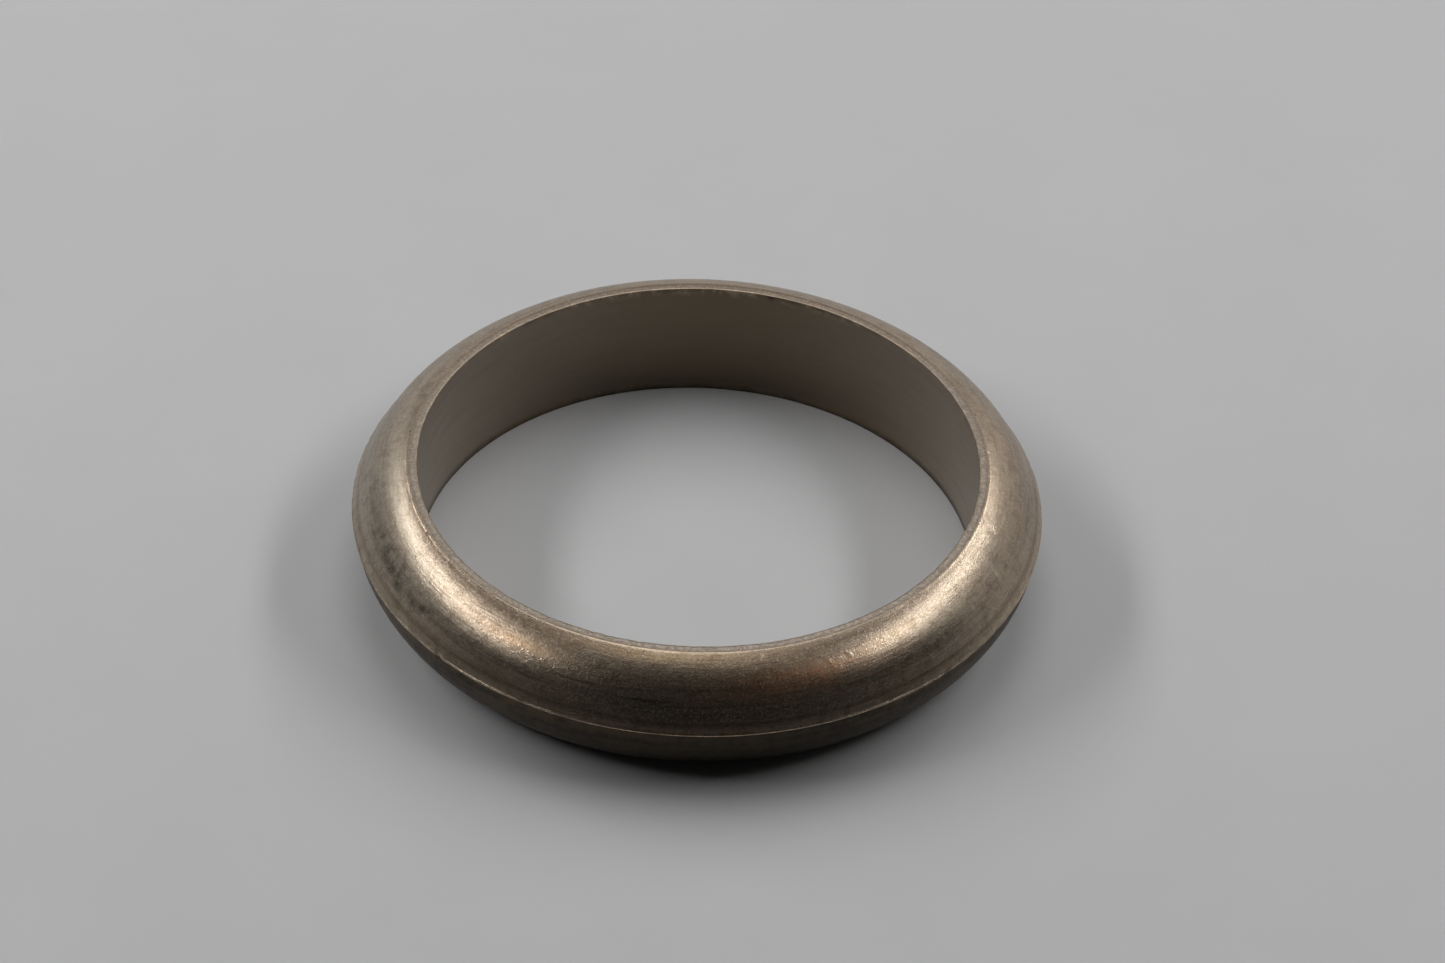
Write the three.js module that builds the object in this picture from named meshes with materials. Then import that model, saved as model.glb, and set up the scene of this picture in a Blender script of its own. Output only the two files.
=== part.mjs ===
// A solid metal sealing ring: a plain bore, a domed upper face that steepens into a flank, a
// sloping lower face and a sharp rim where the two meet. It lies flat on its bottom land.
// Millimetres, +Z up. The origin is the centre of the bottom land.
import * as THREE from "three";

// Driving dimensions.
const BORE_RADIUS = 25.5; // passes a 50.8 mm pipe with a little clearance
const RIM_RADIUS = 31.5; // the ring's widest place
const RING_HEIGHT = 12;
const RIM_HEIGHT = 7; // the rim's upper corner, a little above the middle
const LAND_WIDTH = 0.9; // the flat top and bottom lands, from the bore outwards
const EDGE_BREAK = 0.08; // the bevel where each land meets the bore

// The rim is a thin lip. A steep, nearly straight flank runs up from it to the dome, and a nearly
// upright band is set back below it.
const RIM_THICKNESS = 0.25;
const FLANK = { reach: 1.22, climb: 1.95, hollow: 0.02 };
const BAND = { setBack: 0.18, taper: 0.1, height: 1.15 };

// How far each face bulges out from a straight cone.
const DOME_BULGE = 0.42;
const LOWER_BULGE = 0.95;

const SEGMENTS_AROUND = 96;
const DOME_STEPS = 10;
const LOWER_STEPS = 6;
const FLANK_STEPS = 2;

const BRONZE_BROWN = 0x8a7d6b;

// A point of the section: radius from the axis, and height.
function point(radius, height) {
  return new THREE.Vector2(radius, height);
}

// A circular arc that bulges to the right of the way from one point to the next, or to the left
// where the bulge is negative. The last point is left to the stretch that follows.
function arc(from, to, bulge, steps) {
  const halfChord = from.distanceTo(to) / 2;
  const radius = (halfChord ** 2 + bulge ** 2) / (2 * bulge);
  const wholeTurn = 2 * Math.asin(halfChord / radius);
  const right = point(to.y - from.y, from.x - to.x).normalize();
  const centre = from.clone().lerp(to, 0.5).addScaledVector(right, bulge - radius);
  const points = [];
  for (let i = 0; i < steps; i++) {
    points.push(from.clone().rotateAround(centre, (wholeTurn * i) / steps));
  }
  return points;
}

// The ring's section, from the bore's lower corner outwards, up the outside and back down the bore.
function ringSection() {
  const landEdge = BORE_RADIUS + LAND_WIDTH;
  const bandTop = point(RIM_RADIUS - BAND.setBack, RIM_HEIGHT - RIM_THICKNESS);
  const bandFoot = point(bandTop.x - BAND.taper, bandTop.y - BAND.height);
  const rimTop = point(RIM_RADIUS, RIM_HEIGHT);
  const domeFoot = point(RIM_RADIUS - FLANK.reach, RIM_HEIGHT + FLANK.climb);

  return [
    point(BORE_RADIUS, EDGE_BREAK),
    point(BORE_RADIUS + EDGE_BREAK, 0),
    ...arc(point(landEdge, 0), bandFoot, LOWER_BULGE, LOWER_STEPS),
    bandFoot,
    bandTop,
    point(RIM_RADIUS, bandTop.y),
    ...arc(rimTop, domeFoot, -FLANK.hollow, FLANK_STEPS),
    ...arc(domeFoot, point(landEdge, RING_HEIGHT), DOME_BULGE, DOME_STEPS),
    point(landEdge, RING_HEIGHT),
    point(BORE_RADIUS + EDGE_BREAK, RING_HEIGHT),
    point(BORE_RADIUS, RING_HEIGHT - EDGE_BREAK),
    point(BORE_RADIUS, EDGE_BREAK),
  ];
}

function sealingRing() {
  const metal = new THREE.MeshStandardMaterial({
    color: BRONZE_BROWN,
    roughness: 0.42,
    metalness: 1,
  });
  const ring = new THREE.Mesh(new THREE.LatheGeometry(ringSection(), SEGMENTS_AROUND), metal);
  ring.name = "sealing_ring";
  ring.rotation.x = Math.PI / 2; // a lathe turns about Y, and the ring stands along Z
  return ring;
}

const part = new THREE.Group();
part.add(sealingRing());

export default part;
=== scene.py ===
import math

import bpy
import numpy as np
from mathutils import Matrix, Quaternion, Vector


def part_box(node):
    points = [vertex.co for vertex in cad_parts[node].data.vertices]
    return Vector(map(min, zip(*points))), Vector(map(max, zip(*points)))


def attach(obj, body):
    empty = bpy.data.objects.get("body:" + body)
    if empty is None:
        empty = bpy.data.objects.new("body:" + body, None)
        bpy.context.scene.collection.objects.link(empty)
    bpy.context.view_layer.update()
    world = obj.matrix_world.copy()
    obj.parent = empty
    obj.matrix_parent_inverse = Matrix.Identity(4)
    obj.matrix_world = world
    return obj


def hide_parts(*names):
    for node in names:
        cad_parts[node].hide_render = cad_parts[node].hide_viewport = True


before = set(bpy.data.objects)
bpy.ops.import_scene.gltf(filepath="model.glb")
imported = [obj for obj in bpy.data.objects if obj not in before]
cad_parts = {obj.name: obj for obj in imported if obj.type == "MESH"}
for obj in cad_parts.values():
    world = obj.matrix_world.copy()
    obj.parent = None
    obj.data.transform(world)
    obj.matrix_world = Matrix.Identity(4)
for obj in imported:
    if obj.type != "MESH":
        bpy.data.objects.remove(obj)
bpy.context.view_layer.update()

MM = 0.001
MICROMETRE = 1e-6
NODE = "sealing_ring"
SEED = 51

# ---------------------------------------------------------------- sizes, in millimetres
# The same driving sizes as the CAD section; the rim and the height come from the CAD box.
_, high_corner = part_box(NODE)
RIM_RADIUS = high_corner.x / MM
RING_HEIGHT = high_corner.z / MM
BORE_RADIUS = 25.5
RIM_HEIGHT = 7.0
LAND_WIDTH = 0.9
LAND_EDGE = BORE_RADIUS + LAND_WIDTH
RIM_THICKNESS = 0.25
RIM_ROUNDING = 0.10
FLANK_REACH, FLANK_CLIMB, FLANK_HOLLOW = 1.22, 1.95, 0.02
BAND_SET_BACK, BAND_TAPER, BAND_HEIGHT = 0.18, 0.10, 1.15
DOME_BULGE, LOWER_BULGE = 0.42, 0.95
CORNER = 0.08  # how far each sharp corner is rounded back
CORNER_BULGE = 0.3 * CORNER
LIP_BULGE = 0.2 * CORNER
DOME_DROP = 0.3 * CORNER  # from the land to the dome's first station
MOST_PROUD = 0.02  # how far the relief may stand above the land

SEGMENTS_AROUND = 900


# ---------------------------------------------------------------- the ring's section
def arc(start, end, bulge, steps):
    """Points of a circular arc that bulges to the right of the way, without its last point."""
    start, end = Vector(start), Vector(end)
    half = (end - start).length / 2
    radius = (half**2 + bulge**2) / (2 * bulge)
    turn = 2 * math.asin(half / radius)
    right = Vector((end.y - start.y, start.x - end.x)).normalized()
    centre = (start + end) / 2 + right * (bulge - radius)
    spoke = start - centre
    points = []
    for i in range(steps):
        angle = turn * i / steps
        x = spoke.x * math.cos(angle) - spoke.y * math.sin(angle)
        y = spoke.x * math.sin(angle) + spoke.y * math.cos(angle)
        points.append((centre.x + x, centre.y + y))
    return points


def line(start, end, steps):
    """Evenly spaced points from start towards end, without the last one."""
    start, end = Vector(start), Vector(end)
    return [tuple(start.lerp(end, i / steps)) for i in range(steps)]


def ring_section():
    """The section as rows of (radius, height, zone): from the bore's foot outwards, up and back."""
    band_top = (RIM_RADIUS - BAND_SET_BACK, RIM_HEIGHT - RIM_THICKNESS)
    band_foot = (band_top[0] - BAND_TAPER, band_top[1] - BAND_HEIGHT)
    rim_foot = (RIM_RADIUS - RIM_ROUNDING, band_top[1])
    rim_top = (RIM_RADIUS - RIM_ROUNDING, RIM_HEIGHT)
    dome_foot = (RIM_RADIUS - FLANK_REACH, RIM_HEIGHT + FLANK_CLIMB)
    dome_top = (LAND_EDGE + CORNER, RING_HEIGHT - DOME_DROP)
    land_outside = (LAND_EDGE - CORNER, RING_HEIGHT)
    land_inside = (BORE_RADIUS + CORNER, RING_HEIGHT)
    bore_top = (BORE_RADIUS, RING_HEIGHT - CORNER)
    bore_foot = (BORE_RADIUS, CORNER)
    foot_inside = (BORE_RADIUS + CORNER, 0)
    foot_outside = (LAND_EDGE, 0)
    stretches = [
        ("lower", arc(bore_foot, foot_inside, CORNER_BULGE, steps=2)),
        ("lower", line(foot_inside, foot_outside, steps=2)),
        ("lower", arc(foot_outside, band_foot, LOWER_BULGE, steps=20)),
        ("band", line(band_foot, band_top, steps=6)),
        ("band", line(band_top, rim_foot, steps=1)),
        ("rim", arc(rim_foot, rim_top, RIM_ROUNDING, steps=5)),
        ("flank", arc(rim_top, dome_foot, -FLANK_HOLLOW, steps=16)),
        ("dome", arc(dome_foot, dome_top, DOME_BULGE, steps=29)),
        ("edge", arc(dome_top, land_outside, LIP_BULGE, steps=3)),
        ("land", line(land_outside, land_inside, steps=6)),
        ("bore_edge", arc(land_inside, bore_top, CORNER_BULGE, steps=3)),
        ("bore", line(bore_top, bore_foot, steps=14)),
    ]
    return [(r, z, zone) for zone, points in stretches for r, z in points]


SECTION = ring_section()
ZONES = np.array([zone for _, _, zone in SECTION])
STATIONS = np.array([(r, z) for r, z, _ in SECTION])
ANGLES = np.linspace(0, 2 * np.pi, SEGMENTS_AROUND, endpoint=False)


def outward(stations):
    """Unit vectors that point out of the metal at each station of the closed section."""
    along = np.roll(stations, -1, axis=0) - np.roll(stations, 1, axis=0)
    normal = np.column_stack([along[:, 1], -along[:, 0]])
    return normal / np.linalg.norm(normal, axis=1, keepdims=True)


# ---------------------------------------------------------------- places on the ring
# A place across the section is one value for each station, a place round the ring is one for
# each segment, and their product is one for each point of the surface.
def in_zone(*names, reach=0.1):
    """1 at the stations of these zones, falling to 0 over about reach millimetres beyond them."""
    inside = STATIONS[np.isin(ZONES, names)]
    gaps = np.linalg.norm(STATIONS[:, None, :] - inside[None, :, :], axis=2).min(axis=1)
    return np.exp(-((gaps / reach) ** 2))


def near_radius(radius, half_width):
    """1 at this radius on the upper face, falling smoothly to 0 over about half_width."""
    upper = STATIONS[:, 1] > RIM_HEIGHT
    return upper * np.exp(-(((STATIONS[:, 0] - radius) / half_width) ** 2))


def angle_gap(degrees):
    """How far each segment is from this angle, in radians, by the shorter way."""
    return np.abs((ANGLES - math.radians(degrees) + np.pi) % (2 * np.pi) - np.pi)


def towards(degrees, half_width):
    """1 at this angle round the ring, falling smoothly to 0 over about half_width degrees."""
    return np.exp(-((angle_gap(degrees) / math.radians(half_width)) ** 2))


def mostly_towards(sector, elsewhere):
    """1 at the middle of this sector, falling smoothly to this much in the rest of the ring."""
    return elsewhere + (1 - elsewhere) * towards(*sector)


def all_round(across):
    """The same values across the section at every segment."""
    return np.outer(np.ones(SEGMENTS_AROUND), across)


def patch(degrees, radius, length, width):
    """A soft spot on the dome: 1 at its middle, length mm round the ring and width mm across."""
    dome = STATIONS[np.isin(ZONES, ("dome", "flank"))]
    middle = dome[np.abs(dome[:, 0] - radius).argmin()]
    round_gap = angle_gap(degrees)[:, None] * radius / (length / 2)
    across_gap = np.linalg.norm(STATIONS - middle, axis=1)[None, :] / (width / 2)
    return np.exp(-(round_gap**2) - across_gap**2)


def patches(rows):
    """Soft spots added up, from rows of angle, radius, length, width and strength."""
    total = np.zeros((SEGMENTS_AROUND, len(STATIONS)))
    for degrees, radius, length, width, strength in rows:
        total += strength * patch(degrees, radius, length, width)
    return total


# ---------------------------------------------------------------- relief, in millimetres
# Marks on the dome: angle in degrees, radius, length round the ring, width across it and depth.
MARKS = (
    (327.4, 29.2, 0.35, 0.35, 0.05),
    (326.5, 29.7, 0.30, 0.45, 0.05),
    (335.6, 29.4, 0.30, 0.30, 0.03),
    (342.8, 27.7, 0.50, 1.00, 0.02),
    (348.0, 28.1, 0.60, 0.50, 0.02),
    (298.0, 28.3, 0.30, 0.30, 0.04),
    (287.0, 30.0, 0.30, 0.30, 0.04),
)

# Small shallow dents all over the dome: how many, and the least and most of each size.
DENT_COUNT = 16
DENT_RADII = (LAND_EDGE + 0.5, RIM_RADIUS - 1)
DENT_LENGTHS, DENT_WIDTHS, DENT_DEPTHS = (0.5, 1.4), (0.4, 0.7), (0.003, 0.009)

# Nicks along an edge: how many, the edge's radius, and the least and most depth and width.
RIM_NICKS = (36, RIM_RADIUS, (0.02, 0.06), (0.15, 0.5))
LIP_NICKS = (40, LAND_EDGE, (0.01, 0.03), (0.2, 0.6))
BORE_NICKS = (90, BORE_RADIUS, (0.01, 0.06), (0.15, 0.5))
LARGE_NICK_DEPTH = 0.12
LARGE_NICK_PLACE = (225, 0.7)  # its angle and half width, in degrees

# The rim is worn down unevenly, and the faces are very slightly wavy.
RIM_WEAR = 0.012
WAVINESS = 0.004

# A faint crease runs round the flank just inside the rim.
CREASE_RADIUS, CREASE_HALF_WIDTH, CREASE_DEPTH = 30.95, 0.09, 0.012

# The outer edge of the land stands up in a thin lip, mostly on one side of the ring, where it is
# painted bright both as worn metal and as a painted highlight.
LIP_HEIGHT = 0.014
LIP = mostly_towards((250, 34), elsewhere=0.35)

# How these vary round the ring: the share that varies, and the wave's lowest and highest harmonic.
RIM_VARIATION = (0.6, 4, 40)
CREASE_VARIATION = (0.5, 3, 30)
LIP_VARIATION = (0.3, 20, 90)

# The waves' harmonics on the dome and on the land.
DOME_WAVES = (2, 14)
LAND_WAVES = (30, 120)
HARMONIC_STRENGTHS = (0.4, 1.0)

random = np.random.default_rng(SEED)


def ripple(lowest, highest):
    """A smooth random wave round the ring, of about unit size, from harmonics in this range."""
    wave = np.zeros(SEGMENTS_AROUND)
    for order in range(lowest, highest):
        harmonic = np.cos(order * ANGLES + random.uniform(0, 2 * np.pi))
        wave += harmonic * random.uniform(*HARMONIC_STRENGTHS)
    return wave / math.sqrt(highest - lowest)


def uneven(share, lowest, highest):
    """Values about 1 round the ring, of which this share varies."""
    return 1 + share * ripple(lowest, highest)


def nicks(count, radius, depths, widths):
    """Small random hollows round an edge of this radius, as one depth for each segment."""
    deepest = np.zeros(SEGMENTS_AROUND)
    for _ in range(count):
        gap = angle_gap(random.uniform(0, 360)) * radius
        width = random.uniform(*widths)
        depth = random.uniform(*depths)
        deepest = np.maximum(deepest, depth * np.exp(-((gap / width) ** 2)))
    return deepest


def dents():
    """Small shallow dents spread over the dome, as a depth for each segment and station."""
    depth = np.zeros((SEGMENTS_AROUND, len(STATIONS)))
    for _ in range(DENT_COUNT):
        radius = random.uniform(*DENT_RADII)
        degrees = random.uniform(0, 360)
        length = random.uniform(*DENT_LENGTHS)
        width = random.uniform(*DENT_WIDTHS)
        depth += random.uniform(*DENT_DEPTHS) * patch(degrees, radius, length, width)
    return depth * in_zone("dome")[None, :]


def relief():
    """How far each point of the surface stands out of the plain section."""
    rim, bore_edge = in_zone("rim"), in_zone("bore_edge")
    lip = in_zone("edge", reach=0.06)
    crease = near_radius(CREASE_RADIUS, CREASE_HALF_WIDTH)
    height = -dents() - patches(MARKS)
    height -= np.outer(RIM_WEAR * uneven(*RIM_VARIATION), rim)
    height -= np.outer(nicks(*RIM_NICKS), rim)
    height -= np.outer(LARGE_NICK_DEPTH * towards(*LARGE_NICK_PLACE), rim)
    height -= np.outer(CREASE_DEPTH * uneven(*CREASE_VARIATION), crease)
    height += np.outer(LIP_HEIGHT * LIP * uneven(*LIP_VARIATION), lip)
    height -= np.outer(nicks(*LIP_NICKS), lip)
    height -= np.outer(nicks(*BORE_NICKS), bore_edge)
    height += WAVINESS * np.outer(ripple(*DOME_WAVES), in_zone("dome", "flank", "edge"))
    height += WAVINESS * np.outer(ripple(*LAND_WAVES), in_zone("land"))
    return height


# ---------------------------------------------------------------- where each finish, painted shade and painted light lies
# Patches on the dome: angle in degrees, radius, length round the ring, width across, strength.
PATCHES = {
    "stain": (
        (202.0, 29.6, 10.0, 1.7, 0.6),
        (209.0, 29.9, 10.0, 1.9, 0.9),
        (221.0, 30.1, 12.0, 1.6, 0.9),
        (238.0, 30.1, 20.0, 1.5, 0.4),
        (206.0, 30.5, 9.0, 1.8, 0.4),
        (270.0, 29.8, 30.0, 2.0, 0.3),
    ),
    "copper": (
        (286.0, 29.2, 12.0, 2.5, 1.0),
        (291.5, 28.8, 7.0, 1.5, 0.6),
        (238.0, 28.7, 7.0, 1.2, 0.25),
    ),
    "gold": (
        (263.0, 27.0, 14.0, 1.3, 1.0),
        (240.0, 28.6, 8.0, 1.2, 0.6),
        (305.0, 28.2, 9.0, 1.2, 0.3),
    ),
    # Painted glints where the highlights end.
    "painted_glints": (
        (241.5, 29.2, 8.0, 1.2, 1.0),
        (300.0, 28.3, 9.0, 1.4, 0.6),
    ),
    "scratches": (
        (344.0, 27.8, 0.5, 0.8, 1.0),
        (347.5, 28.1, 1.6, 0.25, 1.0),
        (335.6, 29.4, 0.3, 0.9, 1.0),
        (291.5, 29.3, 0.3, 0.5, 1.0),
        (283.0, 27.0, 0.3, 0.4, 0.8),
    ),
    "pitted": ((261.0, 26.9, 7.0, 1.0, 1.0),),
}

# Sectors of the ring: the angle of the middle and the half width, in degrees. The right side of
# the ring is at 0, its back at 90, its left side at 180 and its front at 270.
# The front of the flank, darkened there as painted shade.
SHADED_FLANK_FRONT = (275, 25)
SMEARED_FRONT = (257, 34)
GREY_LEFT, GREY_RIGHT = (190, 38), (326, 20)
SHADED_LEFT, SHADED_FRONT, SHADED_RIGHT = (205, 14), (222, 34), (290, 26)
SHADED_BACK = (90, 75)
# The bore's sides that face the side lamps, painted lighter as painted light.
LIT_BORE_LEFT, LIT_BORE_RIGHT = (165, 48), (13, 46)
# The front of the band and the lower face, darkened there as painted shade.
SHADED_UNDERSIDE_FRONT = (277, 40)

# Bands of the upper face: radius and half width, in millimetres.
BESIDE_RIM = (RIM_RADIUS, 0.42)
CREASE_SHADE = (CREASE_RADIUS, 0.12)
UPPER_FLANK = (30.6, 0.5)
FOOT_OF_DOME = (29.9, 0.8)
TOP_OF_DOME = (27.0, 0.45)
OUTSIDE_LIP = (26.6, 0.25)
INSIDE_LIP = (26.22, 0.13)

EDGE_REACH = 0.05  # finishes with a sharp border fade out over this many millimetres


def dome_masks():
    """The finishes and the painted shade that lie in bands and sectors of the dome, besides the
    patches.
    """
    front_shade = 0.50 * towards(*SHADED_FRONT) + 0.52 * towards(*SHADED_RIGHT)
    lip_shade = np.outer(front_shade, near_radius(*TOP_OF_DOME))
    lip_shade += np.outer(0.70 * towards(*SHADED_LEFT), near_radius(*OUTSIDE_LIP))
    grey_sides = towards(*GREY_LEFT) + 0.6 * towards(*GREY_RIGHT)
    smeared = mostly_towards(SMEARED_FRONT, elsewhere=0.35)
    return {
        "worn_flank": all_round(near_radius(*BESIDE_RIM)),
        # Painted shade on the front of the flank.
        "painted_flank_shade": np.outer(towards(*SHADED_FLANK_FRONT), near_radius(*UPPER_FLANK)),
        "crease": all_round(near_radius(*CREASE_SHADE)),
        "smeared": np.outer(smeared, near_radius(*FOOT_OF_DOME)),
        "grey_sides": np.outer(grey_sides, in_zone("dome", "flank")),
        "lip_shade": lip_shade,
    }


def edge_masks():
    """The finishes, the painted shade and the painted light of the rim, the lip, the lands, the
    bore and the underside.
    """
    land_shade = np.outer(0.45 * towards(*SHADED_BACK), in_zone("land", reach=EDGE_REACH))
    land_shade += 0.45 * all_round(near_radius(*INSIDE_LIP))
    # The bore's sides, painted lighter as painted light.
    bore_sides_painted_light = towards(*LIT_BORE_LEFT) + 0.92 * towards(*LIT_BORE_RIGHT)
    return {
        "worn_rim": all_round(in_zone("rim", reach=EDGE_REACH)),
        # The lip, painted bright as wear and as a painted highlight, mostly on one side.
        "lip_wear_and_highlight": np.outer(LIP, in_zone("edge", reach=EDGE_REACH)),
        "worn_bore_edge": all_round(in_zone("bore_edge", reach=EDGE_REACH)),
        "land": all_round(in_zone("land", reach=EDGE_REACH)),
        "land_shade": land_shade,
        "bore_wall": all_round(in_zone("bore", reach=EDGE_REACH)),
        "bore_sides_painted_light": np.outer(bore_sides_painted_light, in_zone("bore")),
        "underside": all_round(in_zone("band", "lower", reach=EDGE_REACH)),
        # Painted shade on the front of the band and the lower face.
        "painted_front_shade": np.outer(towards(*SHADED_UNDERSIDE_FRONT), in_zone("band", "lower")),
    }


def surface_masks():
    """Where each finish, painted shade and painted light lies, from 0 to 1 for each segment and
    station.
    """
    masks = {name: patches(rows) for name, rows in PATCHES.items()}
    masks.update(dome_masks())
    masks.update(edge_masks())
    return {name: np.clip(values, 0, 1) for name, values in masks.items()}


def ring_mesh():
    """The ring as one closed mesh, with the masks that its material reads."""
    surface = STATIONS[None, :, :] + relief()[:, :, None] * outward(STATIONS)[None, :, :]
    radius = surface[:, :, 0]
    height = np.clip(surface[:, :, 1], 0, RING_HEIGHT + MOST_PROUD)
    x, y = radius * np.cos(ANGLES)[:, None], radius * np.sin(ANGLES)[:, None]
    points = np.stack([x, y, height], axis=-1)
    count = len(STATIONS)
    here = np.arange(SEGMENTS_AROUND)[:, None] * count
    there = np.roll(here, -1, axis=0)
    station = np.arange(count)[None, :]
    after = np.roll(station, -1, axis=1)
    faces = np.stack([here + station, there + station, there + after, here + after], axis=-1)

    mesh = bpy.data.meshes.new("ring")
    mesh.from_pydata((points.reshape(-1, 3) * MM).tolist(), [], faces.reshape(-1, 4).tolist())
    mesh.polygons.foreach_set("use_smooth", [True] * len(mesh.polygons))
    for name, values in surface_masks().items():
        layer = mesh.attributes.new(name, "FLOAT", "POINT")
        layer.data.foreach_set("value", values.astype(np.float32).reshape(-1))
    mesh.update()
    return mesh


# ---------------------------------------------------------------- node trees
class Nodes:
    """A material's node tree, with short ways to add nodes and join them."""

    def __init__(self, name):
        self.material = bpy.data.materials.new(name)
        self.material.use_nodes = True
        self.tree = self.material.node_tree
        self.shader = self.tree.nodes["Principled BSDF"]
        self.place = self.add("ShaderNodeTexCoord").outputs["Object"]

    def join(self, value, socket):
        """Link a node's output to the socket, or set the socket to a plain value."""
        if isinstance(value, bpy.types.NodeSocket):
            self.tree.links.new(value, socket)
        else:
            socket.default_value = value

    def add(self, kind, inputs=(), **settings):
        node = self.tree.nodes.new(kind)
        for name, value in settings.items():
            setattr(node, name, value)
        for name, value in dict(inputs).items():
            self.join(value, node.inputs[name])
        return node

    def math(self, operation, a, b=0.0):
        node = self.add("ShaderNodeMath", operation=operation)
        self.join(a, node.inputs[0])
        self.join(b, node.inputs[1])
        return node.outputs[0]

    def times(self, a, b):
        return self.math("MULTIPLY", a, b)

    def total(self, *values):
        result = values[0]
        for value in values[1:]:
            result = self.math("ADD", result, value)
        return result

    def noise(self, vector, scale, detail, roughness, w=None):
        """Noise of about 0.3 to 0.7 with this many features a unit; w is a fourth coordinate."""
        inputs = {"Vector": vector, "Scale": scale, "Detail": detail, "Roughness": roughness}
        if w is not None:
            inputs["W"] = w
        dimensions = "3D" if w is None else "4D"
        return self.add("ShaderNodeTexNoise", inputs, noise_dimensions=dimensions).outputs["Fac"]

    def spread(self, value, low, high, to_low=0.0, to_high=1.0):
        """value taken from low..high to to_low..to_high, and held at the ends."""
        inputs = {"Value": value, "From Min": low, "From Max": high,
                  "To Min": to_low, "To Max": to_high}
        return self.add("ShaderNodeMapRange", inputs).outputs["Result"]

    def blend(self, amount, colour_a, colour_b):
        node = self.add("ShaderNodeMix", data_type="RGBA")
        self.join(amount, node.inputs["Factor"])
        for value, socket in ((colour_a, node.inputs[6]), (colour_b, node.inputs[7])):
            self.join(value if isinstance(value, bpy.types.NodeSocket) else (*value, 1.0), socket)
        return node.outputs[2]

    def layered(self, colour, layers):
        """The colour with each layer, an amount and its own colour, laid over it in turn."""
        for amount, paint in layers:
            colour = self.blend(amount, colour, paint)
        return colour

    def mask(self, name, strength=None):
        value = self.add("ShaderNodeAttribute", attribute_name=name).outputs["Fac"]
        return value if strength is None else self.times(value, strength)


# ---------------------------------------------------------------- the ring's metal
CLEAN_METAL = (0.365, 0.292, 0.219)
WARM_METAL = (0.410, 0.307, 0.216)
GREY_METAL = (0.385, 0.330, 0.260)
GOLD_METAL = (0.52, 0.375, 0.22)
PALE_GRAIN = (0.62, 0.52, 0.40)
COPPER_METAL = (0.64, 0.335, 0.185)
FLANK_METAL = (0.50, 0.405, 0.305)
# Dark for the real stains, smears and pits, and also used as painted shade on the front of the
# flank.
DARK_STAIN_AND_SHADE = (0.050, 0.049, 0.040)
# Brown for the real streaks and mottling, and also used as painted shade beside the lip, on the
# land and in the crease.
BROWN_STAIN_AND_SHADE = (0.152, 0.105, 0.072)
# Bright for worn edges and scratches, and also used for painted glints and the painted highlight on
# the lip.
BRIGHT_WEAR_AND_GLINT = (0.60, 0.48, 0.35)
LAND_METAL = (0.40, 0.345, 0.285)
LAND_BROWN = (0.25, 0.205, 0.165)
BORE_METAL = (0.132, 0.101, 0.066)
# A lighter colour for the bore's sides, painted as light from the side lamps.
BORE_SIDE_PAINTED_LIGHT = (0.36, 0.305, 0.245)
UNDER_METAL = (0.128, 0.098, 0.066)
UNDER_DARK = (0.058, 0.045, 0.033)
# A near-black colour, used as painted shade on the front of the underside.
PAINTED_FRONT_SHADE = (0.020, 0.016, 0.012)

PER_MM = 1000.0  # object coordinates are in metres


class RingNodes(Nodes):
    """The ring metal's nodes, with the noises and the flaws that several finishes share."""

    def __init__(self):
        super().__init__("ring_metal")
        self.x, self.y, self.z = self.add("ShaderNodeSeparateXYZ", {"Vector": self.place}).outputs
        squares = self.total(self.times(self.x, self.x), self.times(self.y, self.y))
        self.radius = self.math("SQRT", squares)

        self.grain = self.noise(self.place, 6.5 * PER_MM, detail=2.0, roughness=0.6)
        self.sand = self.noise(self.place, 4.3 * PER_MM, detail=3.0, roughness=0.6)
        self.specks = self.noise(self.place, 2.5 * PER_MM, detail=2.0, roughness=0.5)
        self.mottle = self.noise(self.place, 0.9 * PER_MM, detail=4.0, roughness=0.65)
        self.chips = self.noise(self.place, 0.52 * PER_MM, detail=3.0, roughness=0.6)
        self.cloud = self.noise(self.place, 0.11 * PER_MM, detail=4.0, roughness=0.55)
        self.streak = self.streaks(length=9.0, width=0.8, detail=5.0)
        self.smears = self.streaks(length=8.0, width=0.40, detail=3.0)
        self.lines = self.streaks(length=5.0, width=0.16, detail=2.0)

        self.stained = self.stains()
        self.browned = self.brown_streaks()
        self.pits = self.small_pits()
        self.glints = self.painted_glint_grains()

    def streaks(self, length, width, detail):
        """Noise whose features are about length mm round the ring and width mm across it."""
        turns = RIM_RADIUS / length
        vector = self.add("ShaderNodeCombineXYZ", {
            "X": self.times(self.math("DIVIDE", self.x, self.radius), turns),
            "Y": self.times(self.math("DIVIDE", self.y, self.radius), turns),
            "Z": self.times(self.radius, PER_MM / width),
        }).outputs[0]
        across = self.times(self.z, PER_MM / width)
        return self.noise(vector, 1.0, detail, roughness=0.6, w=across)

    def stains(self):
        """Dark stains that break up into streaks and mottling."""
        broken = self.total(self.times(self.streak, 0.4), self.mottle)
        return self.times(self.mask("stain"), self.spread(broken, 0.55, 0.88))

    def brown_streaks(self):
        """Brown streaks, thicker in some parts of the ring than in others."""
        parts = self.spread(self.cloud, 0.40, 0.60, 0.1, 0.75)
        return self.times(self.spread(self.streak, 0.50, 0.64), parts)

    def small_pits(self):
        """Scattered dark pits, closer together at one place on the lip, and none in the bore."""
        crowded = self.total(self.specks, self.mask("pitted", 0.12))
        not_bore = self.math("SUBTRACT", 1.0, self.mask("bore_wall"))
        return self.times(self.spread(crowded, 0.73, 0.79), not_bore)

    def painted_glint_grains(self):
        """Small groups of grains, raised in the bump and painted bright as painted glints where the
        highlights end.
        """
        return self.times(self.mask("painted_glints"), self.spread(self.specks, 0.54, 0.62, to_high=0.8))


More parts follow.
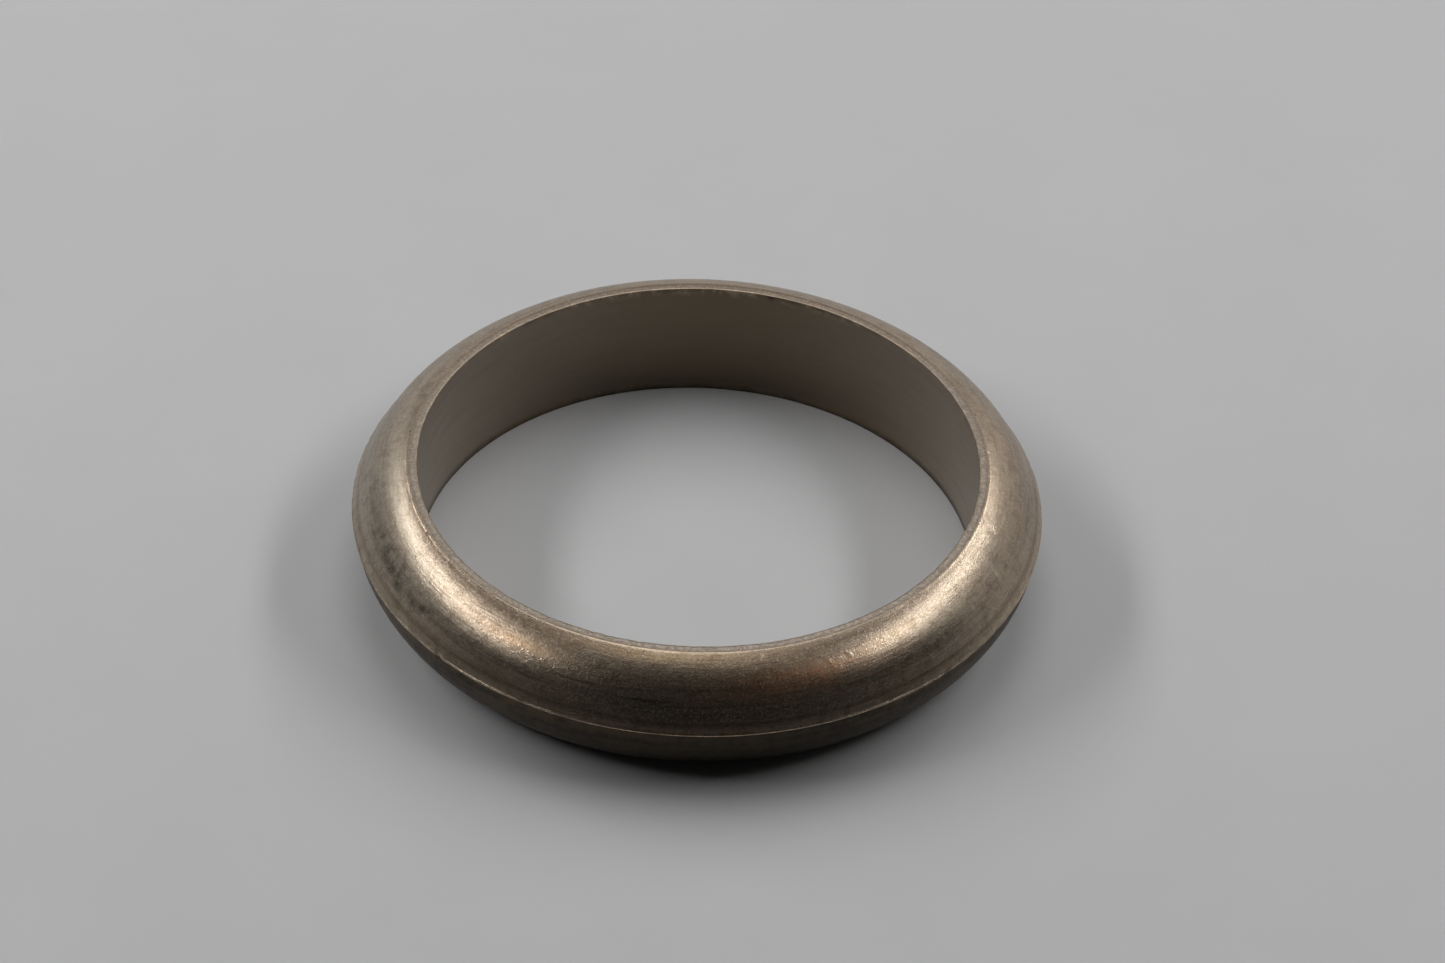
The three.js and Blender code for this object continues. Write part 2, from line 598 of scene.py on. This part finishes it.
def dome_colour(n):
    """The upper face: clean metal, then its tints, its wear, its streaks, its stains and painted
    shade.
    """
    patchy_gold = n.spread(n.mottle, 0.35, 0.60, 0.25, 1.0)
    patchy_copper = n.spread(n.mottle, 0.35, 0.60, 0.3, 1.0)
    patchy_smears = n.spread(n.smears, 0.48, 0.62, to_high=0.65)
    return n.layered(CLEAN_METAL, (
        (n.spread(n.cloud, 0.35, 0.65), WARM_METAL),
        (n.mask("grey_sides"), GREY_METAL),
        (n.times(n.mask("gold"), patchy_gold), GOLD_METAL),
        (n.times(n.mask("copper"), patchy_copper), COPPER_METAL),
        (n.times(n.browned, 0.6), BROWN_STAIN_AND_SHADE),
        # Painted shade on the front of the flank.
        (n.mask("painted_flank_shade", 0.6), DARK_STAIN_AND_SHADE),
        (n.mask("worn_flank", 0.7), FLANK_METAL),
        (n.spread(n.lines, 0.52, 0.68, to_high=0.4), BROWN_STAIN_AND_SHADE),
        (n.spread(n.mottle, 0.48, 0.64, to_high=0.4), BROWN_STAIN_AND_SHADE),
        # Painted shade beside the lip.
        (n.mask("lip_shade"), BROWN_STAIN_AND_SHADE),
        (n.times(n.mask("smeared"), patchy_smears), DARK_STAIN_AND_SHADE),
        (n.spread(n.sand, 0.53, 0.66, to_high=0.42), PALE_GRAIN),
        (n.spread(n.specks, 0.60, 0.72, to_high=0.2), PALE_GRAIN),
        # Painted shade in the crease.
        (n.mask("crease", 0.5), BROWN_STAIN_AND_SHADE),
        (n.times(n.stained, 0.75), DARK_STAIN_AND_SHADE),
    ))


def underside_colour(n):
    """The band and the lower face: dull metal with darker blotches."""
    blotches = n.total(n.times(n.streak, 0.6), n.times(n.mottle, 0.6))
    return n.blend(n.spread(blotches, 0.55, 0.72), UNDER_METAL, UNDER_DARK)


def land_colour(n):
    """The land: pale metal with brown pores."""
    pores = n.total(n.specks, n.times(n.sand, 0.5))
    return n.blend(n.spread(pores, 0.62, 0.88), LAND_METAL, LAND_BROWN)


def bore_colour(n):
    """The bore: dark metal, lighter at its sides as painted light from the side lamps, with faint
    streaks.
    """
    colour = n.blend(n.mask("bore_sides_painted_light"), BORE_METAL, BORE_SIDE_PAINTED_LIGHT)
    return n.blend(n.spread(n.streak, 0.35, 0.65, to_high=0.15), colour, UNDER_METAL)


def bright_wear_and_glints(n):
    """How strongly the worn edges, the scratches, the bright specks and the painted glints show at
    each place.
    """
    rim_chips = n.spread(n.chips, 0.48, 0.60, 0.06, 0.75)
    lip_spots = n.spread(n.mottle, 0.38, 0.55, 0.35, 0.95)
    bore_edge_spots = n.spread(n.mottle, 0.50, 0.65, to_high=0.7)
    land_specks = n.spread(n.specks, 0.62, 0.70, to_high=0.5)
    return n.total(
        n.times(n.mask("worn_rim"), rim_chips),
        # The lip's wear, with a painted highlight.
        n.times(n.mask("lip_wear_and_highlight"), lip_spots),
        n.times(n.mask("worn_bore_edge"), bore_edge_spots),
        n.times(n.mask("land"), land_specks),
        # Painted glints.
        n.glints,
        n.mask("scratches"),
    )


def metal_roughness(n, bright):
    """Smoothest where the metal is worn bright, and roughest in the stains and underneath."""
    rough = n.total(
        n.spread(n.grain, 0.40, 0.60, 0.29, 0.38),
        n.times(n.stained, 0.16),
        n.times(n.browned, 0.05),
        n.mask("land", 0.08),
        n.mask("bore_wall", 0.03),
        n.mask("underside", 0.12),
    )
    return n.math("SUBTRACT", rough, n.times(bright, 0.10))


def metal_grain(n):
    """The height of the fine grain, in micrometres, which is weaker in the bore."""
    height = n.total(
        n.times(n.grain, 13.0),
        n.times(n.sand, 9.0),
        n.times(n.mottle, 20.0),
        n.times(n.lines, 9.0),
        n.spread(n.specks, 0.58, 0.66, to_high=2.0),
        n.times(n.glints, 5.0),
        n.times(n.pits, -5.0),
        n.times(n.times(n.mask("land"), n.specks), 30.0),
    )
    return n.times(height, n.spread(n.mask("bore_wall"), 0.0, 1.0, 1.0, 0.3))


def ring_metal():
    """Bronze-brown metal with a sandy grain, stains that run round the ring, and worn edges."""
    n = RingNodes()
    bright = bright_wear_and_glints(n)
    colour = n.layered(dome_colour(n), (
        (n.mask("underside"), underside_colour(n)),
        # Painted shade on the front of the band and the lower face.
        (n.mask("painted_front_shade", 0.68), PAINTED_FRONT_SHADE),
        (n.mask("land"), land_colour(n)),
        # Painted shade at the inner edge of the land and on its back.
        (n.mask("land_shade"), BROWN_STAIN_AND_SHADE),
        (n.mask("bore_wall"), bore_colour(n)),
        (n.times(n.pits, 0.6), DARK_STAIN_AND_SHADE),
        # Worn edges and scratches, with painted glints and a painted highlight on the lip.
        (bright, BRIGHT_WEAR_AND_GLINT),
    ))
    n.join(colour, n.shader.inputs["Base Color"])
    n.join(metal_roughness(n, bright), n.shader.inputs["Roughness"])
    # The bore's sides are made partly non-metallic, and their lighter colour is painted light from
    # the side lamps.
    n.join(n.spread(n.mask("bore_sides_painted_light"), 0.0, 1.0, 1.0, 0.6), n.shader.inputs["Metallic"])
    bump_inputs = {"Height": metal_grain(n), "Strength": 1.0, "Distance": MICROMETRE}
    n.join(n.add("ShaderNodeBump", bump_inputs).outputs[0], n.shader.inputs["Normal"])
    return n.material


# ---------------------------------------------------------------- the floor
FLOOR_HALF_SIDE = 1.5
FLOOR_LIGHT = (0.59, 0.59, 0.59)
FLOOR_DARK = (0.55, 0.55, 0.555)
FLOOR_ROUGHNESS = 0.6
FLOOR_SPECULAR = 0.2


def floor_paint():
    """Plain pale grey paint, very faintly mottled."""
    n = Nodes("floor_paint")
    mottle = n.noise(n.place, 0.06 * PER_MM, detail=4.0, roughness=0.6)
    n.join(n.blend(mottle, FLOOR_LIGHT, FLOOR_DARK), n.shader.inputs["Base Color"])
    n.shader.inputs["Roughness"].default_value = FLOOR_ROUGHNESS
    n.shader.inputs["Specular IOR Level"].default_value = FLOOR_SPECULAR
    return n.material


# ---------------------------------------------------------------- the scene
def add_object(name, data):
    made = bpy.data.objects.new(name, data)
    bpy.context.scene.collection.objects.link(made)
    return made


def add_ring():
    ring = add_object("ring", ring_mesh())
    ring.data.materials.append(ring_metal())
    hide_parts(NODE)
    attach(ring, "root")


def add_floor():
    mesh = bpy.data.meshes.new("floor")
    signs = ((-1, -1), (1, -1), (1, 1), (-1, 1))
    corners = [(x * FLOOR_HALF_SIDE, y * FLOOR_HALF_SIDE, 0.0) for x, y in signs]
    mesh.from_pydata(corners, [], [(0, 1, 2, 3)])
    mesh.materials.append(floor_paint())
    add_object("floor", mesh)


def direction(azimuth, elevation):
    """A unit vector: azimuth counted from +X towards +Y, elevation from the floor, in degrees."""
    a, e = math.radians(azimuth), math.radians(elevation)
    return Vector((math.cos(e) * math.cos(a), math.cos(e) * math.sin(a), math.sin(e)))


# The soft lights: name, place in metres, direction of shining, width and height, radiance.
LEFT_STRIP = Vector((-0.42, 0.16, 0.378))
RIGHT_STRIP = Vector((0.42, 0.26, 0.45))
TOP_PANEL = direction(90, 64) * 0.9
SOFT_LIGHTS = (
    # Two long strips, parallel to the view and level, one along each side of the ring.
    ("left_strip", LEFT_STRIP, (-LEFT_STRIP.x, 0, -LEFT_STRIP.z), (0.68, 0.086), 8.7),
    ("right_strip", RIGHT_STRIP, (-RIGHT_STRIP.x, 0, -RIGHT_STRIP.z), (0.80, 0.094), 7.5),
    # A tall dim panel that leans over the ring from behind.
    ("top_panel", TOP_PANEL, -TOP_PANEL, (0.52, 1.048), 1.38),
    # The low glow of the room's pale walls; the side of the room behind the camera is dark.
    ("far_wall", (0, 1.45, 0.25), (0, -1, 0), (2.8, 0.5), 0.68),
    ("right_wall", (1.45, 0.85, 0.47), (-1, 0, 0), (1.6, 0.86), 0.44),
    ("left_wall", (-1.45, 0.7, 0.47), (1, 0, 0), (1.7, 0.86), 0.20),
)
DARK_ROOM = (0.012, 0.012, 0.012, 1.0)


def add_soft_light(name, place, facing, size, radiance):
    """A rectangular soft light, turned to shine along facing, with its width level."""
    width, height = size
    lamp = bpy.data.lights.new(name, "AREA")
    lamp.shape = "RECTANGLE"
    lamp.size, lamp.size_y = width, height
    # A flat light of this radiance gives out pi times as much from each square metre.
    lamp.energy = radiance * math.pi * width * height
    light = add_object(name, lamp)
    light.location = place
    light.rotation_euler = (-Vector(facing)).to_track_quat("Z", "Y").to_euler()


def add_lights():
    for soft_light in SOFT_LIGHTS:
        add_soft_light(*soft_light)
    world = bpy.data.worlds.new("studio")
    world.use_nodes = True
    world.node_tree.nodes["Background"].inputs["Color"].default_value = DARK_ROOM
    bpy.context.scene.world = world


# The camera. Lens and sensor are in millimetres, as are its distance and aim from the middle of
# the ring's foot; its angles are in degrees.
LENS = 119.6
SENSOR_WIDTH = 36.0
CAMERA_DISTANCE = 443.0
CAMERA_AZIMUTH = -90
CAMERA_ELEVATION = 40.5
CAMERA_ROLL = 2.11
LOOK_AT = Vector((2.3, 11.5, 0.0))


def add_camera():
    data = bpy.data.cameras.new("camera")
    data.sensor_width = SENSOR_WIDTH
    data.lens = LENS
    camera = add_object("camera", data)
    place = direction(CAMERA_AZIMUTH, CAMERA_ELEVATION) * CAMERA_DISTANCE
    aim = (LOOK_AT - place).to_track_quat("-Z", "Y")
    roll = Quaternion((0, 0, 1), math.radians(CAMERA_ROLL))
    camera.location = place * MM
    camera.rotation_euler = (aim @ roll).to_euler()
    bpy.context.scene.camera = camera


add_camera()
add_ring()
add_floor()
add_lights()
bpy.context.scene.view_settings.view_transform = "Standard"
